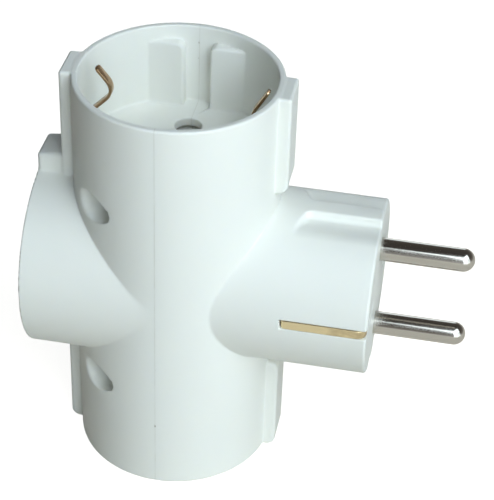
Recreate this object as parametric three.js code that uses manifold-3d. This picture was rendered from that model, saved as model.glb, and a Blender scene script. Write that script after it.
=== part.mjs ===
// Three-way plug-in mains adapter: three round earthed socket recesses on one white moulded body
// with a two-pin plug.
//
// Millimetres, +Z up. The origin of the part is the centre of the plug's face, which lies flat on an
// outlet's floor, with the pins towards +X. The pieces are drawn about the crossing of the tube's axis
// (Z) and the plug's axis (X), and the finished group is moved back by the plug's reach. The body is
// two mouldings that meet on the plane through the tube's axis, the third socket opens to -X, and
// every socket has its two pin holes on a line along Y.

import * as THREE from "three";
import { mergeVertices } from "three/addons/utils/BufferGeometryUtils.js";
import Module from "manifold-3d";

const wasm = await Module();
wasm.setup();

// Driving dimensions of the body
const tube_wall = 1.4;
const side_reach = 28.1;
const plug_reach = 42.1;
const seam_gap = 0.1;

// Socket recesses
const recess_radius = 19.5;
const recess_depth = 17.5;
const floor_thickness = 2.0;
const pin_spacing = 19.0;
const pin_hole_radius = 2.8;
const guide_thickness = 2.8;
const guide_groove_half = 2.75;
const guide_drop = 3.1;

// Ribs outside the earth clips
const rib_rise = 2.1;
const rib_half_width = 4.5;
const rib_end_round = 2.0;
const upper_rib_gap = 4.4;
const lower_rib_gap = 2.9;
const tab_rise = 3.6;
const tab_half_width = 4.2;
const tab_draft = 0.13;

// Plug
const plug_pin_radius = 2.4;
const plug_pin_length = 19.0;
const plug_face_thickness = 3.5;
const plug_wall = 3.2;
const collar_room = 1.8;
const plug_edge_round = 0.9;
const notch_depth = 1.75;
const notch_length = 16.0;
const ridge_half_width = 2.1;

// Contact metal
const contact_sheet = 0.6;
const contact_width = 3.6;
const contact_grip = 4.4;
const contact_base_room = 1.2;
const contact_pinch_depth = 4.5;
const busbar_sheet = 0.8;
const busbar_width = 5.0;
const busbar_rest_length = 6.0;
const arm_tab_setback = 5.2;
const clip_sheet = 0.6;
const clip_width = 2.0;
const clip_apex_reach = 5.1;
const clip_apex_round = 2.5;
const clip_apex_drop = 5.2;
const clip_tip_reach = 2.0;
const clip_tip_drop = 1.1;
const clip_heel_height = 4.9;
const strip_sheet = 0.8;
const strip_width = 1.9;
const strip_offset = 0.85;
const strip_run = 17.5;
const strip_on_face = 5.4;
const strip_bend = 1.6;
const strip_slot_room = 4.0;
const frame_sheet = 0.8;
const frame_bar = 2.0;
const frame_room = 0.8;
const frame_post_start = 0.5;
const frame_post_width = 4.0;

// Inner ends of the plug pins
const spigot_radius = 1.5;
const rivet_head_radius = 2.3;
const rivet_head_height = 0.8;
const collar_radius = 3.6;
const collar_height = 1.6;

// Case screws
const screw_side_room = 5.6;
const screw_floor_room = 5.3;
const screw_seat = 5.0;
const screw_length = 14.0;
const screw_radius = 1.45;
const screw_head_radius = 2.6;
const screw_head_height = 1.9;
const screw_head_dome = 0.5;
const screw_cross_half = 0.35;
const screw_cross_depth = 1.1;
const screw_well_radius = 3.0;
const screw_boss_wall = 1.1;

// Clearances and small rounds
const metal_gap = 0.3;
const pin_fit = 0.2;
const rim_round = 0.4;
const strip_recess = 0.15;
const reach_past = 1.0;

// Places worked out from the sizes above
const pin_offset = pin_spacing / 2;
const tube_radius = recess_radius + tube_wall;
const clip_foot_depth = floor_thickness + metal_gap + clip_sheet;
const end_floor = tube_radius + frame_room + frame_bar + metal_gap + clip_foot_depth;
const tube_half_height = end_floor + recess_depth;
const side_floor = side_reach - recess_depth;
const cavity_half_height = end_floor - floor_thickness;
const side_cup_back = side_floor - floor_thickness;
const plug_cavity_radius = pin_offset + collar_radius + collar_room;
const plug_radius = plug_cavity_radius + plug_wall;
const plug_cavity_end = plug_reach - plug_face_thickness;
const rib_outer = tube_radius + rib_rise;
const notch_floor = plug_radius - notch_depth;
const notch_start = plug_reach - notch_length;
const guide_flat = recess_radius - guide_thickness;
const clip_wall_line = recess_radius - metal_gap - clip_sheet / 2;
const clip_apex_radius = clip_wall_line - clip_apex_reach;
const clip_apex_height = recess_depth - clip_apex_drop;
const clip_tip_radius = clip_wall_line - clip_tip_reach;
const clip_tip_height = recess_depth - clip_tip_drop;
const contact_depth = plug_pin_length + contact_base_room + contact_sheet;
const busbar_web_x = contact_depth - side_floor + metal_gap;
const strip_start = plug_reach - strip_run;
const strip_line_y = plug_radius - strip_recess - strip_sheet / 2;
const strip_line_face = plug_reach - strip_recess - strip_sheet / 2;
const strip_tail_y = strip_line_y - strip_on_face;
const arm_tab_x = plug_cavity_end - arm_tab_setback;
const screw_y = tube_radius - screw_side_room;
const screw_z = end_floor - screw_floor_room;
const screw_bore_radius = screw_radius + metal_gap;
const screw_end = screw_length - screw_seat;

// How many flats a round form gets
const round_steps = 72;
const small_steps = 24;
const corner_steps = 4;

// Finishes
const white_plastic = new THREE.MeshStandardMaterial({ color: 0xdde6e4, roughness: 0.3, metalness: 0 });
const nickel = new THREE.MeshStandardMaterial({ color: 0x9a9285, roughness: 0.25, metalness: 1 });
const brass = new THREE.MeshStandardMaterial({ color: 0xc9a35c, roughness: 0.35, metalness: 1 });
const bronze = new THREE.MeshStandardMaterial({ color: 0x8f6a43, roughness: 0.35, metalness: 1 });
const zinc_steel = new THREE.MeshStandardMaterial({ color: 0xa9abad, roughness: 0.4, metalness: 1 });

// Turns a closed geometry into a solid that can be cut and joined
function solid(geometry) {
  const bare = geometry.clone();
  bare.deleteAttribute("normal");
  bare.deleteAttribute("uv");
  const merged = mergeVertices(bare, 1e-5);
  const vertProperties = new Float32Array(merged.attributes.position.array);
  const corners = Array.from(merged.index.array);
  const kept = [];
  for (let i = 0; i < corners.length; i += 3) {
    const [a, b, c] = corners.slice(i, i + 3);
    if (a !== b && b !== c && c !== a) {
      kept.push(a, b, c);
    }
  }
  const triVerts = new Uint32Array(kept);
  return new wasm.Manifold(new wasm.Mesh({ numProp: 3, vertProperties, triVerts }));
}

// Turns a solid back into a geometry with its own normals
function geometryOf(body) {
  const mesh = body.getMesh();
  const geometry = new THREE.BufferGeometry();
  geometry.setAttribute("position", new THREE.BufferAttribute(new Float32Array(mesh.vertProperties), 3));
  geometry.setIndex(new THREE.BufferAttribute(new Uint32Array(mesh.triVerts), 1));
  geometry.computeVertexNormals();
  return geometry;
}

function joined(bodies) {
  return bodies.reduce((whole, body) => whole.add(body));
}

// A block between two corners
function block(x0, x1, y0, y1, z0, z1) {
  const geometry = new THREE.BoxGeometry(x1 - x0, y1 - y0, z1 - z0);
  geometry.translate((x0 + x1) / 2, (y0 + y1) / 2, (z0 + z1) / 2);
  return geometry;
}

// A round bar along X between x0 and x1, centred on y, z
function barAlongX(radius, x0, x1, y = 0, z = 0, steps = small_steps) {
  const geometry = new THREE.CylinderGeometry(radius, radius, x1 - x0, steps);
  geometry.rotateZ(-Math.PI / 2);
  geometry.translate((x0 + x1) / 2, y, z);
  return geometry;
}

// A round bar along Z between z0 and z1, centred on x, y
function barAlongZ(radius, z0, z1, x = 0, y = 0, steps = small_steps) {
  const geometry = new THREE.CylinderGeometry(radius, radius, z1 - z0, steps);
  geometry.rotateX(Math.PI / 2);
  geometry.translate(x, y, (z0 + z1) / 2);
  return geometry;
}

// Points of an arc from one angle to another, in degrees
function arc(cx, cy, radius, from, to, steps) {
  const points = [];
  for (let i = 0; i <= steps; i += 1) {
    const angle = THREE.MathUtils.degToRad(from + ((to - from) * i) / steps);
    points.push([cx + radius * Math.cos(angle), cy + radius * Math.sin(angle)]);
  }
  return points;
}

// A solid of revolution about Z from radius, height pairs that start and end on the axis
function turned(profile, steps) {
  const points = profile.map(([radius, height]) => new THREE.Vector2(radius, height));
  const geometry = new THREE.LatheGeometry(points, steps);
  geometry.rotateX(Math.PI / 2);
  return geometry;
}

// A flat outline in x, z that is as wide as y0 to y1
function prismAlongY(outline, y0, y1) {
  const shape = new THREE.Shape(outline.map(([x, z]) => new THREE.Vector2(x, z)));
  const geometry = new THREE.ExtrudeGeometry(shape, { depth: y1 - y0, bevelEnabled: false });
  geometry.rotateX(Math.PI / 2);
  geometry.translate(0, y1, 0);
  return geometry;
}

// A flat outline in x, y that is as high as z0 to z1
function prismAlongZ(outline, z0, z1) {
  const shape = new THREE.Shape(outline.map(([x, y]) => new THREE.Vector2(x, y)));
  const geometry = new THREE.ExtrudeGeometry(shape, { depth: z1 - z0, bevelEnabled: false });
  geometry.translate(0, 0, z0);
  return geometry;
}

// The middle line of a bent strip through its corners, each inner corner rounded by its own radius
function bentLine(corners, radii, steps = corner_steps) {
  const line = [corners[0]];
  for (let i = 1; i < corners.length - 1; i += 1) {
    const here = new THREE.Vector2(...corners[i]);
    const back = new THREE.Vector2(...corners[i - 1]).sub(here).normalize();
    const ahead = new THREE.Vector2(...corners[i + 1]).sub(here).normalize();
    const half_angle = Math.acos(THREE.MathUtils.clamp(back.dot(ahead), -1, 1)) / 2;
    const run = radii[i - 1] / Math.tan(half_angle);
    const start = here.clone().addScaledVector(back, run);
    const end = here.clone().addScaledVector(ahead, run);
    const curve = new THREE.QuadraticBezierCurve(start, here, end);
    curve.getPoints(steps).forEach((point) => line.push([point.x, point.y]));
  }
  line.push(corners[corners.length - 1]);
  return line;
}

// The outline of a strip of one thickness along its middle line
function stripOutline(line, thickness) {
  const left = [];
  const right = [];
  for (let i = 0; i < line.length; i += 1) {
    const here = new THREE.Vector2(...line[i]);
    const before = new THREE.Vector2(...line[Math.max(i - 1, 0)]);
    const after = new THREE.Vector2(...line[Math.min(i + 1, line.length - 1)]);
    const into = here.clone().sub(before);
    const out = after.clone().sub(here);
    const first = (into.length() > 0 ? into : out).normalize();
    const second = (out.length() > 0 ? out : into).normalize();
    const along = first.clone().add(second).normalize();
    const widen = 1 / Math.max(along.dot(first), 0.5);
    const side = new THREE.Vector2(-along.y, along.x).multiplyScalar((thickness / 2) * widen);
    left.push([here.x + side.x, here.y + side.y]);
    right.push([here.x - side.x, here.y - side.y]);
  }
  return right.concat(left.reverse());
}

function piece(name, geometry, material) {
  const mesh = new THREE.Mesh(geometry, material);
  mesh.name = name;
  return mesh;
}

// The three sockets: the way they open, as a turn about Y from +Z, and how far out their floor lies
const sockets = [
  { name: "top", turn: 0, floor: end_floor },
  { name: "bottom", turn: Math.PI, floor: end_floor },
  { name: "side", turn: -Math.PI / 2, floor: side_floor },
];

// Takes a geometry from a socket's own frame, floor centre at the origin and mouth up, to the body's
function inSocket(geometry, socket) {
  geometry.translate(0, 0, socket.floor);
  geometry.rotateY(socket.turn);
  return geometry;
}

// Everything that is cut for one socket: recess with its guide pads left standing, pin holes, clip slots
function socketCut(socket) {
  const pad_top = recess_depth - guide_drop;
  const mouth = recess_depth + reach_past;
  let recess = solid(inSocket(barAlongZ(recess_radius, 0, mouth, 0, 0, round_steps), socket));
  for (const pad_side of [-1, 1]) {
    for (const row of [-1, 1]) {
      const x_near = pad_side * guide_groove_half;
      const x_far = pad_side * recess_radius;
      const y_near = row * guide_flat;
      const y_far = row * tube_radius;
      const pad = block(
        Math.min(x_near, x_far), Math.max(x_near, x_far),
        Math.min(y_near, y_far), Math.max(y_near, y_far),
        -reach_past, pad_top,
      );
      recess = recess.subtract(solid(inSocket(pad, socket)));
    }
  }
  const cuts = [recess];
  const below = -floor_thickness - reach_past;
  for (const row of [-1, 1]) {
    const hole = barAlongZ(pin_hole_radius, below, reach_past, 0, row * pin_offset);
    cuts.push(solid(inSocket(hole, socket)));
    const slot_in = clip_wall_line - clip_sheet / 2 - metal_gap;
    const slot_half = clip_width / 2 + metal_gap;
    const slot_x = [row * slot_in, row * recess_radius].sort((a, b) => a - b);
    const slot = block(slot_x[0], slot_x[1], -slot_half, slot_half, below, reach_past);
    cuts.push(solid(inSocket(slot, socket)));
  }
  return joined(cuts);
}

// Outside of the tube, with its two end edges softened
function tubeBody() {
  const soft = tube_radius - rim_round;
  const h = tube_half_height;
  const profile = [[0, -h], [soft, -h], [tube_radius, -h + rim_round]];
  profile.push([tube_radius, h - rim_round], [soft, h], [0, h]);
  return solid(turned(profile, round_steps));
}

// Outside of the side socket, which opens to -X
function sideBody() {
  const profile = [[0, 0], [tube_radius, 0], [tube_radius, side_reach - rim_round]];
  profile.push([tube_radius - rim_round, side_reach], [0, side_reach]);
  const geometry = turned(profile, round_steps);
  geometry.rotateY(-Math.PI / 2);
  return solid(geometry);
}

// Outside of the plug, with a rounded front edge
function plugBody() {
  const edge_x = plug_reach - plug_edge_round;
  const edge = arc(plug_radius - plug_edge_round, edge_x, plug_edge_round, 0, 90, corner_steps);
  const geometry = turned([[0, 0], [plug_radius, 0], ...edge, [0, plug_reach]], round_steps);
  geometry.rotateY(Math.PI / 2);
  return solid(geometry);
}

// A rib on the side facing +X, from z0 up to z1, with the chosen outer ends rounded
function ribBody(z0, z1, round_bottom, round_top) {
  const centre = rib_outer - rib_end_round;
  const outline = [[recess_radius, z0]];
  if (round_bottom) {
    outline.push(...arc(centre, z0 + rib_end_round, rib_end_round, -90, 0, corner_steps));
  } else {
    outline.push([rib_outer, z0]);
  }
  if (round_top) {
    outline.push(...arc(centre, z1 - rib_end_round, rib_end_round, 0, 90, corner_steps));
  } else {
    outline.push([rib_outer, z1]);
  }
  outline.push([recess_radius, z1]);
  return prismAlongY(outline, -rib_half_width, rib_half_width);
}

// The two ribs beside the plug and the long one on the other side
function ribs() {
  const h = tube_half_height;
  const upper = ribBody(plug_radius + upper_rib_gap, h, true, false);
  const lower = ribBody(-h, -plug_radius - lower_rib_gap, true, true);
  const long = ribBody(-h, h, true, false);
  long.rotateZ(Math.PI);
  return [solid(upper), solid(lower), solid(long)];
}

// The raised tab on top of the side socket and the low rib under it
function sideRibs() {
  const end = -side_reach;
  const root = -recess_radius;
  const end_top = tube_radius + tab_rise;
  const root_top = end_top + (root - end) * tab_draft;
  const tab = [[end, recess_radius], [root, recess_radius], [root, root_top], [end, end_top]];
  const low_rib = [[end, -rib_outer], [root, -rib_outer], [root, -recess_radius], [end, -recess_radius]];
  return [
    solid(prismAlongY(tab, -tab_half_width, tab_half_width)),
    solid(prismAlongY(low_rib, -rib_half_width, rib_half_width)),
  ];
}

// Where the four case screws run
const screw_places = [
  { name: "upper_front", y: -screw_y, z: screw_z },
  { name: "upper_rear", y: screw_y, z: screw_z },
  { name: "lower_front", y: -screw_y, z: -screw_z },
  { name: "lower_rear", y: screw_y, z: -screw_z },
];

// The four posts that the screws run through, kept inside the tube
function screwPosts() {
  const wide = screw_well_radius + screw_boss_wall;
  const slim = screw_bore_radius + screw_boss_wall;
  const wide_end = -screw_seat + screw_boss_wall;
  const posts = screw_places.flatMap(({ y, z }) => [
    solid(barAlongX(wide, -tube_radius, wide_end, y, z)),
    solid(barAlongX(slim, wide_end - reach_past, tube_radius, y, z)),
  ]);
  return joined(posts).intersect(tubeBody());
}

// The screw holes: a wide well from -X, a clearance hole, and a blind bore in the other half
function screwCuts() {
  const bore_end = screw_end + reach_past;
  return joined(screw_places.flatMap(({ y, z }) => [
    solid(barAlongX(screw_well_radius, -side_reach, -screw_seat, y, z)),
    solid(barAlongX(screw_bore_radius, -screw_seat - reach_past, bore_end, y, z)),
  ]));
}

// The hollow in the middle of the body, with the side socket's cup and the posts left standing
function cavity() {
  const h = cavity_half_height;
  const tube = solid(barAlongZ(recess_radius, -h, h, 0, 0, round_steps));
  const cup = solid(barAlongX(tube_radius, -side_reach, -side_cup_back, 0, 0, round_steps));
  const plug = solid(barAlongX(plug_cavity_radius, 0, plug_cavity_end, 0, 0, round_steps));
  return tube.subtract(cup).add(plug).subtract(screwPosts()).subtract(busbarRests());
}

// Two blocks on the plug's wall that the busbars lean on
function busbarRests() {
  const x0 = busbar_web_x + busbar_sheet + metal_gap;
  const x1 = x0 + busbar_rest_length;
  const half = busbar_width / 2;
  return joined([-1, 1].map((row) => {
    const y = [row * pin_offset, row * plug_radius].sort((a, b) => a - b);
    return solid(block(x0, x1, y[0], y[1], -half, half));
  }));
}

// Guide notches on the plug: two on each of its upper and lower sides, with a ridge between them
function notches() {
  const cuts = [];
  for (const side of [-1, 1]) {
    for (const row of [-1, 1]) {
      const y = [row * ridge_half_width, row * plug_radius].sort((a, b) => a - b);
      const z = [side * notch_floor, side * (plug_radius + reach_past)].sort((a, b) => a - b);
      cuts.push(solid(block(notch_start, plug_reach + reach_past, y[0], y[1], z[0], z[1])));
    }
  }
  return joined(cuts);
}

// Grooves for the two earth strips on the plug's side and face, each with a slot into the hollow
function stripSlots() {
  const half = strip_width / 2 + strip_recess;
  const deep = strip_recess + strip_sheet + metal_gap;
  const leg_end = strip_start + strip_sheet + 2 * metal_gap;
  const past_x = plug_reach + reach_past;
  const past_y = plug_radius + reach_past;
  const tail_edge = strip_tail_y - strip_sheet / 2 - strip_recess;
  return joined([-1, 1].map((row) => {
    const z = -row * strip_offset;
    const cut = (x0, x1, inner, outer) => {
      const y = [row * inner, row * outer].sort((a, b) => a - b);
      return solid(block(x0, x1, y[0], y[1], z - half, z + half));
    };
    return joined([
      cut(strip_start, past_x, plug_radius - deep, past_y),
      cut(strip_start, leg_end, plug_cavity_radius - reach_past, past_y),
      cut(plug_reach - deep, past_x, tail_edge, past_y),
      cut(plug_cavity_end - reach_past, past_x, tail_edge - strip_slot_room, strip_tail_y + strip_sheet),
    ]);
  }));
}

// Holes in the plug's face for the two pins
function pinHoles() {
  const x0 = plug_cavity_end - reach_past;
  const x1 = plug_reach + reach_past;
  const radius = plug_pin_radius + pin_fit;
  return joined([-1, 1].map((side) => solid(barAlongX(radius, x0, x1, 0, side * pin_offset))));
}

// The whole white body, then its two halves
function body() {
  let whole = joined([tubeBody(), sideBody(), plugBody(), ...ribs(), ...sideRibs()]);
  whole = whole.subtract(cavity());
  for (const socket of sockets) {
    whole = whole.subtract(socketCut(socket));
  }
  return whole.subtract(notches()).subtract(stripSlots()).subtract(pinHoles()).subtract(screwCuts());
}

function halves() {
  const whole = body();
  const far = plug_reach + side_reach;
  const half_gap = seam_gap / 2;
  const left = solid(block(-far, -half_gap, -far, far, -far, far));
  const right = solid(block(half_gap, far, -far, far, -far, far));
  return [whole.intersect(left), whole.intersect(right)];
}

// A plug pin about its own axis: rounded tip, shank, collar behind the face, riveted spigot
function pinGeometry() {
  const tip = plug_reach + plug_pin_length;
  const collar_out = plug_cavity_end - metal_gap;
  const collar_in = collar_out - collar_height;
  const shoulder = arm_tab_x + busbar_sheet + metal_gap;
  const rivet_out = arm_tab_x - metal_gap;
  const rivet_in = rivet_out - rivet_head_height;
  const round_tip = arc(0, tip - plug_pin_radius, plug_pin_radius, 0, 90, 2 * corner_steps);
  round_tip[round_tip.length - 1] = [0, tip];
  return turned([
    [0, rivet_in], [rivet_head_radius, rivet_in], [rivet_head_radius, rivet_out],
    [spigot_radius, rivet_out], [spigot_radius, shoulder],
    [plug_pin_radius, shoulder], [plug_pin_radius, collar_in],
    [collar_radius, collar_in], [collar_radius, collar_out],
    [plug_pin_radius, collar_out], ...round_tip,
  ], small_steps);
}

// A busbar: web behind the side contact, two shelves under the end contacts, arm to its plug pin
function busbarGeometry() {
  const web = [busbar_web_x, busbar_web_x + busbar_sheet];
  const half = busbar_width / 2;
  const row = [-pin_offset - half, -pin_offset + half];
  const shelf_top = end_floor - contact_depth - metal_gap;
  const shelf_end = -contact_grip / 2 - contact_sheet;
  const arm_top = pin_offset + rivet_head_radius + metal_gap + busbar_sheet;
  const arm_bottom = pin_offset - half;
  const plates = [
    block(web[0], web[1], row[0], row[1], -shelf_top, arm_top),
    block(shelf_end, web[1], row[0], row[1], shelf_top - busbar_sheet, shelf_top),
    block(shelf_end, web[1], row[0], row[1], -shelf_top, -shelf_top + busbar_sheet),
    block(web[0], web[1], row[0], half, arm_bottom, arm_top),
    block(web[0], arm_tab_x + busbar_sheet, -half, half, arm_top - busbar_sheet, arm_top),
    block(arm_tab_x, arm_tab_x + busbar_sheet, -half, half, arm_bottom, arm_top),
  ];
  const bore_radius = spigot_radius + metal_gap;
  const bore = barAlongX(bore_radius, arm_tab_x - reach_past, plug_reach, 0, pin_offset);
  return geometryOf(joined(plates.map(solid)).subtract(solid(bore)));
}

// A contact for one pin in a socket's own frame: two sprung legs on a base, mouth just under the floor
function contactGeometry() {
  const half = contact_grip / 2;
  const wide = half + contact_sheet / 2;
  const mouth = -floor_thickness - metal_gap;
  const base = -plug_pin_length - contact_base_room - contact_sheet / 2;
  const pinch = mouth - contact_pinch_depth;
  const flare = contact_sheet;
  const line = bentLine([
    [wide + flare, mouth], [wide, pinch], [wide, base],
    [-wide, base], [-wide, pinch], [-wide - flare, mouth],
  ], [contact_sheet, contact_sheet, contact_sheet, contact_sheet]);
  return prismAlongY(stripOutline(line, contact_sheet), -contact_width / 2, contact_width / 2);
}

// An earth clip in a socket's own frame, standing at the wall on the +X side
function clipGeometry() {
  const foot = -clip_foot_depth + clip_sheet / 2;
  const line = bentLine([
    [clip_tip_radius, clip_tip_height], [clip_apex_radius, clip_apex_height],
    [clip_wall_line, clip_heel_height], [clip_wall_line, foot],
    [clip_apex_radius, foot],
  ], [clip_apex_round, clip_apex_round, clip_sheet]);
  return prismAlongY(stripOutline(line, clip_sheet), -clip_width / 2, clip_width / 2);
}

// An earth strip of the plug: inner leg, along the side, round the edge, across the face and back in
function stripGeometry() {
  const leg_x = strip_start + metal_gap + strip_sheet / 2;
  const line = bentLine([
    [leg_x, -frame_sheet / 2 - metal_gap], [leg_x, -strip_line_y],
    [strip_line_face, -strip_line_y], [strip_line_face, -strip_tail_y],
    [plug_cavity_end, -strip_tail_y],
  ], [strip_sheet, strip_bend, strip_sheet]);
  return prismAlongZ(stripOutline(line, strip_sheet), -strip_width / 2, strip_width / 2);
}

// The earth frame: one flat stamping on the plane y = 0 that joins every clip and both strips
function earthFrame() {
  const half = frame_sheet / 2;
  const foot_inner = end_floor - clip_foot_depth - metal_gap;
  const post = [frame_post_start, frame_post_start + frame_post_width];
  const arm_end = clip_wall_line - metal_gap;
  const side_foot = -(side_floor - clip_foot_depth - metal_gap);
  const side_arm_z = [clip_apex_radius + metal_gap, clip_wall_line - metal_gap];
  const plug_arm_end = strip_start + metal_gap + strip_sheet;
  const plates = [block(post[0], post[1], -half, half, -foot_inner, foot_inner)];
  for (const side of [-1, 1]) {
    const z = [side * (foot_inner - frame_bar), side * foot_inner].sort((a, b) => a - b);
    const arm_z = [side * side_arm_z[0], side * side_arm_z[1]].sort((a, b) => a - b);
    plates.push(block(-arm_end, arm_end, -half, half, z[0], z[1]));
    plates.push(block(side_foot, post[1], -half, half, arm_z[0], arm_z[1]));
  }
  plates.push(block(post[0], plug_arm_end, -half, half, -frame_bar, frame_bar));
  return geometryOf(joined(plates.map(solid)));
}

// A case screw along X, head at -X, with a cross recess
function screwGeometry() {
  const head_in = -screw_seat - metal_gap;
  const head_out = head_in - screw_head_height;
  const profile = [
    [0, head_out], [screw_head_radius - screw_head_dome, head_out],
    [screw_head_radius, head_out + screw_head_dome],
    [screw_head_radius, head_in], [screw_radius, head_in],
    [screw_radius, screw_end - screw_radius], [0, screw_end],
  ];
  const geometry = turned(profile, small_steps);
  geometry.rotateY(Math.PI / 2);
  const arm = screw_radius;
  const slot = screw_cross_half;
  const above = head_out - reach_past;
  const deep = head_out + screw_cross_depth;
  const cross = solid(block(above, deep, -arm, arm, -slot, slot))
    .add(solid(block(above, deep, -slot, slot, -arm, arm)));
  return geometryOf(solid(geometry).subtract(cross));
}

const adapter = new THREE.Group();

const [socket_side, plug_side] = halves();
adapter.add(piece("socket_side_shell", geometryOf(socket_side), white_plastic));
adapter.add(piece("plug_side_shell", geometryOf(plug_side), white_plastic));

// The two poles are the same metalwork, turned half round about the plug's axis
const poles = [
  { name: "live", turn: 0, row: -1 },
  { name: "neutral", turn: Math.PI, row: 1 },
];
for (const pole of poles) {
  const busbar = piece(`${pole.name}_busbar`, busbarGeometry(), brass);
  busbar.rotation.x = pole.turn;
  adapter.add(busbar);
  const pin = piece(`${pole.name}_pin`, pinGeometry(), nickel);
  pin.rotation.y = Math.PI / 2;
  pin.position.z = -pole.row * pin_offset;
  adapter.add(pin);
}

// Each socket holds two contacts and two earth clips in its own frame
const clip_names = { top: ["right", "left"], bottom: ["left", "right"], side: ["upper", "lower"] };
for (const socket of sockets) {
  const place = new THREE.Group();
  place.rotation.y = socket.turn;
  place.position.set(Math.sin(socket.turn), 0, Math.cos(socket.turn)).multiplyScalar(socket.floor);
  for (const pole of poles) {
    const contact = piece(`${socket.name}_${pole.name}_contact`, contactGeometry(), brass);
    contact.position.y = pole.row * pin_offset;
    place.add(contact);
  }
  clip_names[socket.name].forEach((side, i) => {
    const clip = piece(`${socket.name}_earth_clip_${side}`, clipGeometry(), bronze);
    clip.rotation.z = i * Math.PI;
    place.add(clip);
  });
  adapter.add(place);
}

// Earth metal of the plug and the frame that joins it to the clips
adapter.add(piece("earth_frame", earthFrame(), brass));
for (const [side, turn] of [["front", 0], ["rear", Math.PI]]) {
  const holder = new THREE.Group();
  const strip = piece(`plug_earth_strip_${side}`, stripGeometry(), brass);
  strip.position.z = strip_offset;
  holder.rotation.x = turn;
  holder.add(strip);
  adapter.add(holder);
}

for (const { name, y, z } of screw_places) {
  const screw = piece(`case_screw_${name}`, screwGeometry(), zinc_steel);
  screw.position.set(0, y, z);
  adapter.add(screw);
}

// The part's origin is the centre of the plug's face
adapter.position.x = -plug_reach;

export default adapter;
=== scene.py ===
"""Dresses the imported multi-socket adapter: moulded shells, contact metal, camera, floor and light."""
import math

import bmesh
import bpy
import numpy as np
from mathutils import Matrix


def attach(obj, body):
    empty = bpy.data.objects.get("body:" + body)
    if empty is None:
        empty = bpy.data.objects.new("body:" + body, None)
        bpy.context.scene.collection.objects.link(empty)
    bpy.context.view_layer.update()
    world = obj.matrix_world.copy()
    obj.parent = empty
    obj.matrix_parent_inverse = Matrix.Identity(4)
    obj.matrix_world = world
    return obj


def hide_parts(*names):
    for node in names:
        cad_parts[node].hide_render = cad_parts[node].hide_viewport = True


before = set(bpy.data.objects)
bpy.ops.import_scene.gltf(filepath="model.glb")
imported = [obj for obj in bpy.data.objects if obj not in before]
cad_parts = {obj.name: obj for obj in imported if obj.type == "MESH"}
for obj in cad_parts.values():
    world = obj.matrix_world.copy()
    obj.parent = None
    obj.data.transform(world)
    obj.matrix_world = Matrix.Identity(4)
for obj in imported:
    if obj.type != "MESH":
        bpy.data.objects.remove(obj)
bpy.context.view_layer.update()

import openvdb
from mathutils import Matrix, Vector

MM = 0.001

# Sizes of the body in millimetres, about the crossing of the tube's and the plug's axes
TUBE_R = 20.9
TUBE_HALF = 44.4
SIDE_REACH = 28.1
PLUG_R = 18.1
PLUG_REACH = 42.1
SEAM_GAP = 0.01

# Socket recesses
RECESS_R = 19.5
RECESS_DEPTH = 17.5
FLOOR_THICK = 2.0
PIN_OFFSET = 9.5
PIN_HOLE_R = 2.8
GUIDE_FLAT = 16.7
GUIDE_GROOVE_HALF = 2.75
GUIDE_DROP = 3.1

# Ribs and tab
RIB_RISE = 2.1
RIB_HALF = 4.5
RIB_END_ROUND = 2.0
UPPER_RIB_GAP = 4.4
LOWER_RIB_GAP = 2.9
TAB_RISE = 3.6
TAB_HALF = 4.2
TAB_DRAFT = 0.13

# Plug
PIN_R = 2.4
PIN_LENGTH = 19.0
PLUG_FACE_THICK = 3.5
PLUG_WALL = 3.2
PLUG_EDGE_ROUND = 0.6
NOTCH_DEPTH = 1.75
NOTCH_LENGTH = 15.0
NOTCH_SLANT = 0.44
RIDGE_HALF = 2.1

# Contact metal
CONTACT_SHEET = 0.6
CONTACT_WIDTH = 3.6
CONTACT_GRIP = 4.4
CONTACT_BASE_ROOM = 1.2
CONTACT_PINCH = 4.5
BUSBAR_SHEET = 0.8
BUSBAR_WIDTH = 5.0
BUSBAR_REST = 6.0
ARM_TAB_SETBACK = 5.2
CLIP_SHEET = 0.6
CLIP_WIDTH = 2.0
# Each clip's bend: tip, innermost corner and heel, as distance from the socket's axis and height
CLIP_BENDS = {
    "pressed out": ((17.95, 16.5), (14.2, 10.15), 4.3),
    "as made": ((16.45, 17.1), (12.5, 12.25), 5.7),
}
CLIP_APEX_ROUND = 3.4
CLIP_HEEL_ROUND = 2.2
CLIP_TIP_ROUND = 0.8
CLIP_FOOT_REACH = 5.1
STRIP_SHEET = 0.8
STRIP_WIDTH = 1.9
STRIP_OFFSET = 0.85
STRIP_START = 24.6
STRIP_ON_FACE = 5.4
STRIP_BEND = 1.8
STRIP_SLOT_ROOM = 4.0
FRAME_SHEET = 0.8

# Inner ends of the plug pins
SPIGOT_R = 1.5
RIVET_R = 2.3
RIVET_HEIGHT = 0.8
RIVET_ROUND = 0.4
COLLAR_R = 3.6
COLLAR_HEIGHT = 1.6
COLLAR_BEVEL = 0.2

# Case screws
SCREW_Y = 15.3
SCREW_Z = 21.6
SCREW_SEAT = 5.0
SCREW_LENGTH = 14.0
SCREW_R = 1.45
SCREW_HEAD_R = 2.6
SCREW_HEAD_HEIGHT = 1.9
SCREW_WELL_R = 3.0
SCREW_BOSS_WALL = 1.1
SCREW_MARGIN = 0.4
SCREW_STEP = 0.13
SCREW_HEAD_ROUND = 0.5
SCREW_DOME_R = 4.2
CROSS_HALF = 0.42
CROSS_SPARE = 0.15
CROSS_DEPTH = 1.3
CROSS_TAPER = 0.25
SCREW_PITCH = 1.1
SCREW_THREAD = 0.22
THREAD_SHARPNESS = 5
THREAD_STEEPNESS = 0.8
SCREW_POINT = 2.5
SCREW_POINT_DROP = 0.8

# Clearances, and how far a cut runs past the face it opens
METAL_GAP = 0.3
PIN_FIT = 0.2
STRIP_RECESS = 0.15
STRIP_SIDE_ROOM = 0.06
PAST = 1.0

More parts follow.
